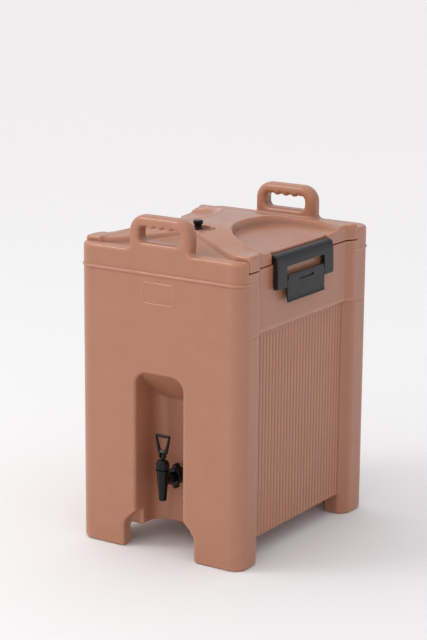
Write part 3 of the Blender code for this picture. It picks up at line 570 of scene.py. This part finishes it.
class Nodes:
    """A material's node tree, with its Principled BSDF."""

    def __init__(self, name, color, roughness, metallic=0.0):
        self.material = bpy.data.materials.new(name)
        self.material.use_nodes = True
        self.tree = self.material.node_tree
        self.shader = self.tree.nodes["Principled BSDF"]
        self.shader.inputs["Base Color"].default_value = (*color, 1.0)
        self.shader.inputs["Roughness"].default_value = roughness
        self.shader.inputs["Metallic"].default_value = metallic
        self.place = self.add("ShaderNodeTexCoord").outputs["Object"]

    def add(self, kind, **settings):
        node = self.tree.nodes.new(kind)
        for key, value in settings.items():
            setattr(node, key, value)
        return node

    def link(self, output, target):
        self.tree.links.new(output, target)

    def noise(self, scale, detail=3.0, stretch=(1, 1, 1), roughness=0.55):
        """Noise from 0 to 1 with features about 1 / scale metres across."""
        mapping = self.add("ShaderNodeMapping")
        mapping.inputs["Scale"].default_value = stretch
        self.link(self.place, mapping.inputs["Vector"])
        node = self.add("ShaderNodeTexNoise")
        node.inputs["Scale"].default_value = scale
        node.inputs["Detail"].default_value = detail
        node.inputs["Roughness"].default_value = roughness
        self.link(mapping.outputs["Vector"], node.inputs["Vector"])
        return node.outputs["Fac"]

    def ranged(self, value, low, high, to_low=0.0, to_high=1.0):
        node = self.add("ShaderNodeMapRange")
        self.link(value, node.inputs["Value"])
        ends = {"From Min": low, "From Max": high, "To Min": to_low, "To Max": to_high}
        for socket, number in ends.items():
            node.inputs[socket].default_value = number
        return node.outputs["Result"]

    def times(self, a, b):
        node = self.add("ShaderNodeMath", operation="MULTIPLY")
        for socket, value in zip(node.inputs, (a, b)):
            if isinstance(value, (int, float)):
                socket.default_value = value
            else:
                self.link(value, socket)
        return node.outputs["Value"]

    def mix(self, factor, a, b):
        node = self.add("ShaderNodeMix", data_type="RGBA")
        if isinstance(factor, (int, float)):
            node.inputs[0].default_value = factor
        else:
            self.link(factor, node.inputs[0])
        for socket, value in ((node.inputs[6], a), (node.inputs[7], b)):
            if isinstance(value, tuple):
                socket.default_value = (*value, 1.0)
            else:
                self.link(value, socket)
        return node.outputs[2]

    def worn(self, roughness, edge_wear_and_highlight, polished):
        """Roughness that falls to polished along the edge mask, where edges are worn smooth."""
        node = self.add("ShaderNodeMix", data_type="FLOAT")
        self.link(edge_wear_and_highlight, node.inputs[0])
        self.link(roughness, node.inputs[2])
        node.inputs[3].default_value = polished
        return node.outputs[0]

    def edge(self):
        """How sharply the surface bends, as the mesh stores it."""
        return self.add("ShaderNodeAttribute", attribute_name="edge").outputs["Fac"]

    def bump(self, height, distance, strength=1.0, below=None):
        node = self.add("ShaderNodeBump")
        node.inputs["Strength"].default_value = strength
        node.inputs["Distance"].default_value = distance
        self.link(height, node.inputs["Height"])
        if below is not None:
            self.link(below, node.inputs["Normal"])
        return node.outputs["Normal"]

    def finish(self, color, roughness, normal):
        for value, socket in ((color, "Base Color"), (roughness, "Roughness"), (normal, "Normal")):
            self.link(value, self.shader.inputs[socket])
        return self.material


def shade(color, factor):
    return tuple(min(1.0, c * factor) for c in color)


def moulded_plastic(name, color, roughness):
    """Rotomoulded polyethylene: slight mottling, a fine pebbled skin, edges worn smoother and painted paler
    as a highlight, and creases painted darker as shade mixed with dirt.
    """
    n = Nodes(name, color, roughness)
    base = n.mix(n.noise(7.0, 4.0), shade(color, 0.955), shade(color, 1.045))
    base = n.mix(n.ranged(n.noise(26.0, 5.0), 0.25, 0.75), base, n.mix(0.030, base, (0.9, 0.72, 0.6)))
    # Edge mask: worn edges for the roughness, and a painted highlight where it makes their colour paler.
    edge_wear_and_highlight = n.times(n.ranged(n.edge(), 0.10, 0.50), n.ranged(n.noise(48.0, 5.0), 0.35, 0.68, 0.35, 0.90))
    base = n.mix(n.times(edge_wear_and_highlight, 0.50), base, shade(color, 1.55))
    # Painted shade mixed with dirt: inside corners and creases are darkened.
    grime_and_painted_shade = n.times(n.ranged(n.edge(), -0.10, -0.55), n.ranged(n.noise(30.0, 4.0), 0.30, 0.75, 0.5, 1.0))
    base = n.mix(n.times(grime_and_painted_shade, 0.30), base, shade(color, 0.55))
    scuffs = n.ranged(n.noise(34.0, 4.0, (1.0, 1.0, 0.22), 0.6), 0.58, 0.80)
    base = n.mix(n.times(scuffs, 0.10), base, shade(color, 1.25))
    satin = n.ranged(n.noise(22.0, 4.0), 0.3, 0.7, roughness - 0.03, roughness + 0.05)
    gloss = n.worn(satin, edge_wear_and_highlight, 0.14)
    waves = n.bump(n.noise(14.0, 2.0), 0.0011, 0.55)
    pebbles = n.bump(n.noise(520.0, 2.0), 0.00005, 0.40, waves)
    n.shader.inputs["Specular IOR Level"].default_value = 0.50
    n.shader.inputs["Coat Weight"].default_value = 0.15
    n.shader.inputs["Coat Roughness"].default_value = 0.22
    return n.finish(base, gloss, pebbles)


def hard_plastic(name, color, roughness, grain=900.0, depth=0.00006, rub=1.0, shine=0.5):
    """Injection-moulded plastic: even colour, a fine grain, and edges made a little paler, as wear and as a
    painted highlight.
    """
    n = Nodes(name, color, roughness)
    base = n.mix(n.noise(30.0, 4.0), shade(color, 0.88), shade(color, 1.12))
    # Edges paler in colour: wear, and a painted highlight.
    edge_wear_and_highlight = n.times(n.ranged(n.edge(), 0.10, 0.60), n.ranged(n.noise(160.0, 4.0), 0.35, 0.70, 0.1, 0.8))
    paler = tuple(c + 0.035 for c in color)
    base = n.mix(n.times(edge_wear_and_highlight, 0.5 * rub), base, paler)
    dust = n.ranged(n.noise(380.0, 5.0), 0.62, 0.78)
    base = n.mix(n.times(dust, 0.12 * rub), base, tuple(c + 0.03 for c in color))
    gloss = n.ranged(n.noise(60.0, 4.0), 0.3, 0.7, roughness - 0.04, roughness + 0.06)
    n.shader.inputs["Specular IOR Level"].default_value = shine
    return n.finish(base, gloss, n.bump(n.noise(grain, 3.0), depth, 0.6))


def sealing_rubber(name, color):
    """Matt rubber with a fine grain."""
    n = Nodes(name, color, 0.72)
    base = n.mix(n.noise(90.0, 4.0), shade(color, 0.86), shade(color, 1.05))
    rough = n.ranged(n.noise(60.0), 0.3, 0.7, 0.66, 0.80)
    return n.finish(base, rough, n.bump(n.noise(1100.0), 0.00005, 0.5))


def stainless(name, color):
    """Steel with fine streaks."""
    n = Nodes(name, color, 0.30, 1.0)
    streaks = n.noise(300.0, 3.0, (1.0, 0.08, 1.0))
    base = n.mix(streaks, shade(color, 0.85), shade(color, 1.08))
    rough = n.ranged(streaks, 0.3, 0.7, 0.22, 0.40)
    return n.finish(base, rough, n.bump(streaks, 0.00003, 0.4))


def rigid_foam(name, color):
    """Closed foam with an uneven, dull skin."""
    n = Nodes(name, color, 0.9)
    base = n.mix(n.noise(240.0, 5.0), shade(color, 0.85), shade(color, 1.06))
    rough = n.ranged(n.noise(200.0), 0.3, 0.7, 0.85, 0.95)
    return n.finish(base, rough, n.bump(n.noise(900.0, 4.0), 0.0003, 0.8))


BROWN = (0.392, 0.165, 0.094)
MATERIALS = {
    "tank_shell": moulded_plastic("tank_polyethylene", BROWN, 0.34),
    "lid_moulding": moulded_plastic("lid_polyethylene", BROWN, 0.32),
    "latch_nylon": hard_plastic("latch_nylon", (0.011, 0.009, 0.008), 0.36, shine=0.34),
    "tap_black": hard_plastic("tap_acetal", (0.002, 0.0018, 0.0018), 0.10, 500.0, 0.00001, 0.0, 0.26),
    "insulation": rigid_foam("insulating_foam", (0.80, 0.72, 0.48)),
    "seal": sealing_rubber("silicone_seal", (0.62, 0.60, 0.56)),
    "steel": stainless("stainless_steel", (0.60, 0.60, 0.60)),
}
SLOT_OF = {part["node"]: part["material_slot"] for part in frame["record"]["subparts"]}
BODIES = frame["record"]["behaviour"]["bodies"]
BODY_OF = {node: body for body, nodes in BODIES.items() for node in nodes}


def piece(name, field, axes, *nodes, triangles=None, reach=0.003):
    """A moulded piece that stands for CAD nodes of one body and takes the first one's material."""
    slot = SLOT_OF[nodes[0]]
    mould(name, field, axes, BODY_OF[nodes[0]], MATERIALS[slot], nodes, triangles, reach)


def around_node(node, step, margin=0.0015):
    """Even grid stations round a CAD node's box."""
    low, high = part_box(node)
    axes = []
    for a, b in zip(low, high):
        axes.append(np.linspace(a - margin, b + margin, max(4, round((b - a + 2 * margin) / step))))
    return axes


def small_piece(name, field, node, step, reach):
    """A piece that stands for one CAD node, on even stations close round it."""
    piece(name, field, around_node(node, step, 0.001), node, reach=reach)


# Tank and lid

def rib_stations():
    """Five stations to a rib, so that every rib is sampled alike."""
    return np.arange(RIB_COUNT * 5 + 1) * RIB_PITCH / 5 - RIBBED_Y - 0.0005


def make_tank():
    ribs = rib_stations()
    front = stations(-DEPTH / 2 - 0.006, (-0.248, 0.002), (-0.224, 0.002), (ribs[0], 0.0026))
    rear = stations(ribs[-1], (0.192, 0.0026), (0.224, 0.0022), (DEPTH / 2 + 0.006, 0.002))
    y = np.concatenate([front[:-1], ribs, rear[1:]])
    x = mirrored_stations((0.054, 0.0030), (0.064, 0.0018), (0.092, 0.0028), (0.134, 0.010), (0.154, 0.0030),
                          (0.172, 0.006), (WIDTH / 2 + 0.006, 0.0018))
    z = stations(-0.004, (0.010, 0.002), (0.038, 0.004), (0.052, 0.002), (0.090, 0.0030), (0.120, 0.010),
                 (0.140, 0.004), (0.280, 0.014), (0.345, 0.005), (0.392, 0.0026), (0.410, 0.006),
                 (0.470, 0.006), (0.490, 0.0018), (0.588, 0.014), (0.606, 0.0012), (0.616, 0.0025),
                 (0.622, 0.0012), (0.636, 0.0030), (0.664, 0.0018), (0.688, 0.0030), (0.702, 0.0018),
                 (0.720, 0.0018))
    piece("tank_moulding", tank_shell_field, (x, y, z), "body_shell", "body_foam", triangles=190000)


def make_lid():
    x = mirrored_stations((0.030, 0.0028), (0.130, 0.0030), (0.150, 0.0022), (0.176, 0.0030), (0.206, 0.0014))
    y = stations(-0.238, (-0.222, 0.0014), (-0.200, 0.0028), (-0.120, 0.0030), (-0.100, 0.0020),
                 (0.180, 0.0034), (0.208, 0.0016))
    z = stations(0.586, (0.592, 0.0015), (0.616, 0.004), (0.622, 0.0009), (0.682, 0.0018))
    piece("lid_moulding", lid_field, (x, y, z), "lid_shell", "lid_foam", triangles=190000)


def label_frame():
    """The faint raised frame that is moulded into the front, as a low half-round bead."""
    half_x, low, high, radius = 0.0378, 0.5352, 0.5788, 0.004
    middle = (low + high) / 2

    def field(x, y, z):
        ring = np.abs(rounded(x, z - middle, half_x, (high - low) / 2, radius))
        return np.hypot(ring * 0.60, y + DEPTH / 2 - 0.0006) - 0.0014

    x = mirrored_stations((0.033, 0.006), (0.041, 0.0006))
    y = np.linspace(-DEPTH / 2 - 0.002, -DEPTH / 2 + 0.004, 10)
    z = stations(low - 0.004, (low + 0.006, 0.0006), (high - 0.006, 0.006), (high + 0.004, 0.0006))
    slot = "tank_shell"
    mould("label_frame", field, (x, y, z), "body", MATERIALS[slot], (), reach=0.001)


def make_fill_plug(name, node):
    """A dished plug in a foam filling hole."""
    low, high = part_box(node)
    centre = (low + high) / 2

    def field(x, y, z):
        r = np.hypot(x - centre.x, y - centre.y)
        head = overlap(r - 0.017, np.abs(z - low.z - 0.0011) - 0.0011, 0.0012)
        dish = np.hypot(r, z - low.z + 0.010) - 0.0125
        stem = np.maximum(r - 0.0121, np.maximum(z - high.z, low.z + 0.001 - z))
        return union(remove(head, dish, 0.0008), stem, 0.0005)

    piece(name, field, around_node(node, 0.0008), node, reach=0.001)


# Latches

def make_latches():
    for word, side in SIDES:
        low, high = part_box(f"latch_plate_{word}")
        tab_low, tab_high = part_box(f"latch_tab_{word}")
        x = np.linspace(low.x - 0.002, high.x + 0.002, 40)
        y = stations(low.y - 0.002, (low.y + 0.006, 0.0009), (tab_low.y - 0.008, 0.004),
                     (tab_low.y + 0.003, 0.0008), (tab_high.y - 0.003, 0.006), (tab_high.y + 0.008, 0.0008),
                     (high.y - 0.006, 0.004), (high.y + 0.002, 0.0009))
        z = stations(low.z - 0.002, (low.z + 0.004, 0.0009), (0.607, 0.0030), (0.620, 0.0009),
                     (high.z + 0.002, 0.0007))
        piece(f"latch_plate_{word}_skin", lambda x, y, z: plate_field(x, y, z, word, side), (x, y, z),
              f"latch_plate_{word}", reach=0.001)
        x = np.linspace(tab_low.x - 0.0015, tab_high.x + 0.0015, 38)
        y = stations(tab_low.y - 0.0015, (tab_high.y + 0.0015, 0.0010))
        z = stations(tab_low.z - 0.0015, (tab_high.z + 0.0015, 0.0009))
        piece(f"latch_tab_{word}_skin", lambda x, y, z: tab_field(x, y, z, word, side), (x, y, z),
              f"latch_tab_{word}", reach=0.001, triangles=120000)
        for node, field_of, step in ((f"latch_hook_{word}", hook_field, 0.0007),
                                     (f"latch_keeper_{word}", keeper_field, 0.0008)):
            piece(f"{node}_skin", lambda x, y, z: field_of(x, y, z, word, side), around_node(node, step),
                  node, reach=0.001)


# Tap

def tap_parts(x, y, z):
    """Distances from the barrel's upright axis and from the shank's level one."""
    return np.hypot(x, y - TAP.y), np.hypot(x, z - SHANK_Z)


def tap_body_field(x, y, z):
    """The tap's barrel and nozzle, and the bored shank that goes through the wall."""
    around, across = tap_parts(x, y, z)
    outline = [(0.0052, 0.1152), (0.0077, 0.1152), (0.0079, 0.1190), (0.0127, 0.1775), (0.0144, 0.1788),
               (0.0145, 0.1813), (0.0105, 0.1823), (0.0105, 0.1868), (0.0082, 0.1868), (0.0082, 0.1480),
               (0.0054, 0.1480)]
    barrel = polygon(around, z, outline) - 0.0003
    shank = np.maximum(across - SHANK_R, np.maximum(TAP.y + 0.0086 - y, y + 0.1182))
    shank = remove(shank, np.maximum(across - SHANK_BORE_R, -0.150 - y), 0.0010)
    field = union(barrel, shank, 0.0030)
    bore = np.maximum(across - SHANK_BORE_R, np.maximum(TAP.y + 0.003 - y, y + 0.10))
    return remove(field, bore, 0.001)


def bonnet_field(x, y, z):
    """The bonnet: a domed cap with eight flutes."""
    around, _ = tap_parts(x, y, z)
    outline = [(0.0108, 0.1828), (0.0132, 0.1828), (0.0137, 0.1850), (0.0137, 0.1950), (0.0120, 0.1985),
               (0.0095, 0.2030), (0.0032, 0.2030), (0.0032, 0.1900), (0.0108, 0.1874)]
    field = overlap(polygon(around, z, outline), z - 0.2028, 0.001)
    turn = np.arctan2(y - TAP.y, x + 1e-9)
    to_flute = (turn / (math.pi / 4) - 0.5) - np.round(turn / (math.pi / 4) - 0.5)
    flute = np.hypot(around - 0.0147, to_flute * math.pi / 4 * 0.0145) - 0.0022
    return remove(field, np.maximum(flute, z - 0.1962), 0.0008)


def lever_field(x, y, z):
    """The lever: a four-sided ring that widens upwards, on a forked block round the stem."""
    v = y - TAP.y
    base, top, low_half, high_half, bar = 0.2172, 0.2570, 0.0115, 0.0185, 0.0050
    outside = [(-low_half, base), (low_half, base), (high_half, top - 0.0028), (high_half - 0.0028, top),
               (-high_half + 0.0028, top), (-high_half, top - 0.0028)]
    window = [(-low_half + bar + 0.001, base + 0.007), (low_half - bar - 0.001, base + 0.007),
              (high_half - bar, top - 0.0062), (-high_half + bar, top - 0.0062)]
    ring = remove(polygon(x, z, outside), polygon(x, z, window) - 0.0002, 0.0014)
    ring = overlap(ring, np.abs(v) - 0.0028, 0.0022)
    block = overlap(rounded(x, z - 0.2140, 0.0066, 0.0072, 0.0020), np.abs(v) - 0.0060, 0.0024)
    field = union(ring, block, 0.0035)
    slot = np.maximum(np.abs(x) - 0.0031, z - TAP.z - 0.0062)
    field = remove(field, slot, 0.0006)
    return remove(field, np.hypot(v, z - TAP.z) - 0.0016, 0.0004)


def collar_field(x, y, z):
    """The collar on the shank, with a wing above and one below."""
    _, across = tap_parts(x, y, z)
    ring = overlap(across - 0.0188, span_of(y, *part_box("tap_collar")), 0.0030)
    height = np.abs(z - SHANK_Z)
    wing = overlap(np.abs(x) - 0.0056 + 0.12 * (height - 0.015), height - 0.0268, 0.0030)
    wing = overlap(wing, np.abs(y + 0.1935) - 0.0075, 0.0020)
    field = union(ring, wing, 0.0020)
    return remove(field, across - RING_BORE_R, 0.0008)


def make_washer(name, node, radius, soft):
    """A ring on the tap's shank."""
    low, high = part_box(node)

    def field(x, y, z):
        _, across = tap_parts(x, y, z)
        ring = overlap(across - radius, span_of(y, low, high), soft)
        return remove(ring, across - RING_BORE_R, soft / 2)

    piece(name, field, around_node(node, 0.0007), node, reach=0.001)


def nut_field(x, y, z):
    """The hexagonal nut inside the tank."""
    _, across = tap_parts(x, y, z)
    turn = np.arctan2(z - SHANK_Z, x + 1e-9) / (math.pi / 3)
    turn = (turn - np.floor(turn) - 0.5) * math.pi / 3
    hexagon = across * np.cos(turn) - NUT_R * math.cos(math.pi / 6)
    length = span_of(y, *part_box("tap_nut"))
    field = overlap(overlap(hexagon, across - 0.0172, 0.001), length, 0.0014)
    return remove(field, across - RING_BORE_R, 0.0010)


def make_tap():
    x = np.linspace(-0.0160, 0.0160, 50)
    y = stations(TAP.y - 0.0160, (TAP.y + 0.0160, 0.00065), (-0.1165, 0.004))
    z = stations(0.1135, (0.1180, 0.0006), (0.1440, 0.0016), (0.1680, 0.0010), (0.1885, 0.00055))
    piece("tap_barrel", tap_body_field, (x, y, z), "tap_body", reach=0.001)
    small_piece("tap_bonnet_cap", bonnet_field, "tap_bonnet", 0.0005, 0.0008)
    small_piece("tap_lever_ring", lever_field, "tap_lever", 0.0005, 0.0008)
    small_piece("tap_wing_collar", collar_field, "tap_collar", 0.0007, 0.001)
    make_washer("tap_seal_outer", "tap_gasket_outer", 0.0178, 0.0016)
    make_washer("tap_seal_inner", "tap_gasket_inner", 0.0163, 0.0014)
    small_piece("tap_lock_nut", nut_field, "tap_nut", 0.0007, 0.001)


def finish_cad_nodes():
    """CAD nodes that are still shown take the same node materials."""
    for name, obj in frame["nodes"].items():
        if not obj.hide_render:
            obj.data.materials.clear()
            obj.data.materials.append(MATERIALS[SLOT_OF[name]])


# Stage: floor, light and camera

FLOOR_REACH = 60.0
LIGHT_SIDE = (-0.49, -0.49, 0.72)
SKY_DARK = 0.27
SKY_BRIGHT = 1.25
SKY_SHADE = (0.93, 0.98, 1.10)
SKY_LIT = (1.0, 0.98, 0.97)
KEY_PLACE = (-2.1, -2.0, 3.2)
KEY_TARGET = (0, 0, 0.4)
KEY_SIZE = 1.2
KEY_POWER = 30
CAMERA_PLACE = (2.198, -3.424, 1.443)
CAMERA_YAW = math.radians(33.12)
CAMERA_PITCH = math.radians(13.68)
CAMERA_ROLL = math.radians(0.45)
CAMERA_LENS = 109.8


def make_floor():
    """A pale floor, painted a little paler with distance as painted light where the key light doesn't reach.
    """
    n = Nodes("studio_floor", (0.86, 0.86, 0.86), 0.75)
    distance = n.add("ShaderNodeVectorMath", operation="LENGTH")
    n.link(n.place, distance.inputs[0])
    # Painted light: the floor's colour grows paler with distance, making up for the key light's falloff.
    painted_far_light = n.ranged(distance.outputs["Value"], 1.5, 7.0)
    base = n.mix(painted_far_light, (0.87, 0.868, 0.870), (0.900, 0.880, 0.876))
    base = n.mix(n.times(n.noise(0.7), 0.03), base, (0.75, 0.75, 0.75))
    rough = n.ranged(n.noise(3.0), 0.3, 0.7, 0.70, 0.80)
    mat = n.finish(base, rough, n.bump(n.noise(40.0), 0.0004, 0.15))
    n.shader.inputs["Specular IOR Level"].default_value = 0.1
    corners = FLOOR_REACH * np.array([(-1, -1, 0), (1, -1, 0), (1, 1, 0), (-1, 1, 0)], float)
    floor = bpy.data.objects.new("floor", new_mesh("floor", corners, np.array([[0, 1, 2, 3]])))
    floor.location.z = -0.0005
    floor.data.materials.append(mat)
    bpy.context.scene.collection.objects.link(floor)


def make_key():
    """A square light above, in front and to the left."""
    light = bpy.data.lights.new("key", "AREA")
    light.shape = "RECTANGLE"
    light.size, light.size_y = KEY_SIZE, KEY_SIZE
    light.energy = KEY_POWER
    obj = bpy.data.objects.new("key", light)
    obj.location = KEY_PLACE
    obj.rotation_euler = (Vector(KEY_TARGET) - Vector(KEY_PLACE)).to_track_quat("-Z", "Y").to_euler()
    bpy.context.scene.collection.objects.link(obj)


def make_world():
    """A pale sky that is brighter towards the light's side, above and in front on the left."""
    world = bpy.data.worlds.new("studio")
    world.use_nodes = True
    tree = world.node_tree
    sky = tree.nodes["Background"]
    direction = tree.nodes.new("ShaderNodeTexCoord").outputs["Generated"]
    towards = tree.nodes.new("ShaderNodeVectorMath")
    towards.operation = "DOT_PRODUCT"
    towards.inputs[1].default_value = LIGHT_SIDE
    tree.links.new(direction, towards.inputs[0])
    level = tree.nodes.new("ShaderNodeMapRange")
    ends = {"From Min": -1.0, "From Max": 1.0, "To Min": SKY_DARK, "To Max": SKY_BRIGHT}
    for socket, value in ends.items():
        level.inputs[socket].default_value = value
    tree.links.new(towards.outputs["Value"], level.inputs["Value"])
    tree.links.new(level.outputs["Result"], sky.inputs["Strength"])
    tint = tree.nodes.new("ShaderNodeMix")
    tint.data_type = "RGBA"
    tint.inputs[6].default_value = (*SKY_SHADE, 1.0)
    tint.inputs[7].default_value = (*SKY_LIT, 1.0)
    side = tree.nodes.new("ShaderNodeMapRange")
    side.inputs["From Min"].default_value = -0.6
    side.inputs["From Max"].default_value = 0.7
    tree.links.new(towards.outputs["Value"], side.inputs["Value"])
    tree.links.new(side.outputs["Result"], tint.inputs[0])
    tree.links.new(tint.outputs[2], sky.inputs["Color"])
    bpy.context.scene.world = world


def make_camera():
    """The viewpoint: in front of the right post and a little above the lid."""
    flat = math.cos(CAMERA_PITCH)
    ahead = Vector((-math.sin(CAMERA_YAW) * flat, math.cos(CAMERA_YAW) * flat, -math.sin(CAMERA_PITCH)))
    level = Vector((math.cos(CAMERA_YAW), math.sin(CAMERA_YAW), 0))
    above = level.cross(ahead)
    right = level * math.cos(CAMERA_ROLL) + above * math.sin(CAMERA_ROLL)
    up = above * math.cos(CAMERA_ROLL) - level * math.sin(CAMERA_ROLL)
    data = bpy.data.cameras.new("camera")
    data.sensor_width = 36.0
    data.lens = CAMERA_LENS
    data.clip_end = 200.0
    camera = bpy.data.objects.new("camera", data)
    turn = Matrix((right, up, -ahead)).transposed().to_4x4()
    camera.matrix_world = Matrix.Translation(CAMERA_PLACE) @ turn
    bpy.context.scene.collection.objects.link(camera)
    bpy.context.scene.camera = camera


make_tank()
label_frame()
make_lid()
make_fill_plug("tank_fill_plug", "body_fill_plug")
make_fill_plug("lid_fill_cap", "lid_fill_plug")
small_piece("vent_knob", vent_field, "vent_cap", 0.0005, 0.0008)
make_latches()
make_tap()
finish_cad_nodes()
make_floor()
make_world()
make_key()
make_camera()
bpy.context.scene.view_settings.view_transform = "Standard"
